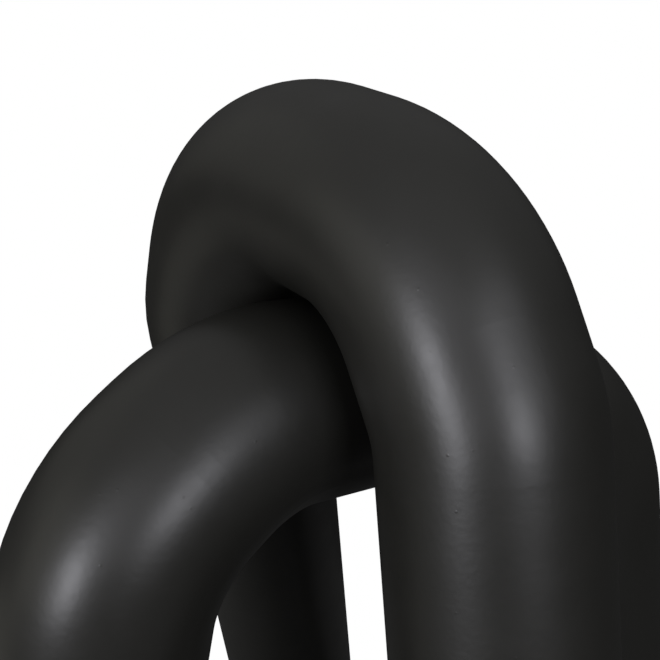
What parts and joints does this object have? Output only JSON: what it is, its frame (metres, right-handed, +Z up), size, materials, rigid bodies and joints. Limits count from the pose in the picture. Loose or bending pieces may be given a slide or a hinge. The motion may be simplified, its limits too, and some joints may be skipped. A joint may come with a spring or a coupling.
{
  "type": "metal knot sculpture",
  "caption": "Freestanding knot ornament: one endless round steel tube that crosses over itself, in a near-black satin coat.",
  "frame": {"origin": "on the surface that the knot stands on, under the middle of its outline box", "axes": "+Z up, the front faces -Y, +X to the right seen from the front"},
  "size_m": [0.2188, 0.259, 0.3356],
  "materials": {
    "coated_tube": "near-black satin powder coat",
    "coated_weld": "ground flush, near-black satin powder coat",
    "bare_sleeve": "bare steel, inside the tube",
    "pad_rubber": "matte black",
    "plug_plastic": "matte black"
  },
  "bodies": {
    "root": {"over_arch": "coated_tube", "under_arch": "coated_tube", "front_base_bend": "coated_tube", "rear_base_bend": "coated_tube", "front_right_leg": "coated_tube", "front_left_leg": "coated_tube", "back_left_leg": "coated_tube", "back_right_leg": "coated_tube", "front_right_base_weld": "coated_weld", "front_right_shoulder_weld": "coated_weld", "front_left_base_weld": "coated_weld", "front_left_shoulder_weld": "coated_weld", "back_left_base_weld": "coated_weld", "back_left_shoulder_weld": "coated_weld", "back_right_base_weld": "coated_weld", "back_right_shoulder_weld": "coated_weld", "front_right_base_sleeve": "bare_sleeve", "front_right_shoulder_sleeve": "bare_sleeve", "front_left_base_sleeve": "bare_sleeve", "front_left_shoulder_sleeve": "bare_sleeve", "back_left_base_sleeve": "bare_sleeve", "back_left_shoulder_sleeve": "bare_sleeve", "back_right_base_sleeve": "bare_sleeve", "back_right_shoulder_sleeve": "bare_sleeve", "front_left_pad": "pad_rubber", "front_right_pad": "pad_rubber", "rear_left_pad": "pad_rubber", "rear_right_pad": "pad_rubber", "front_vent_plug": "plug_plastic", "rear_vent_plug": "plug_plastic"}
  },
  "joints": []
}
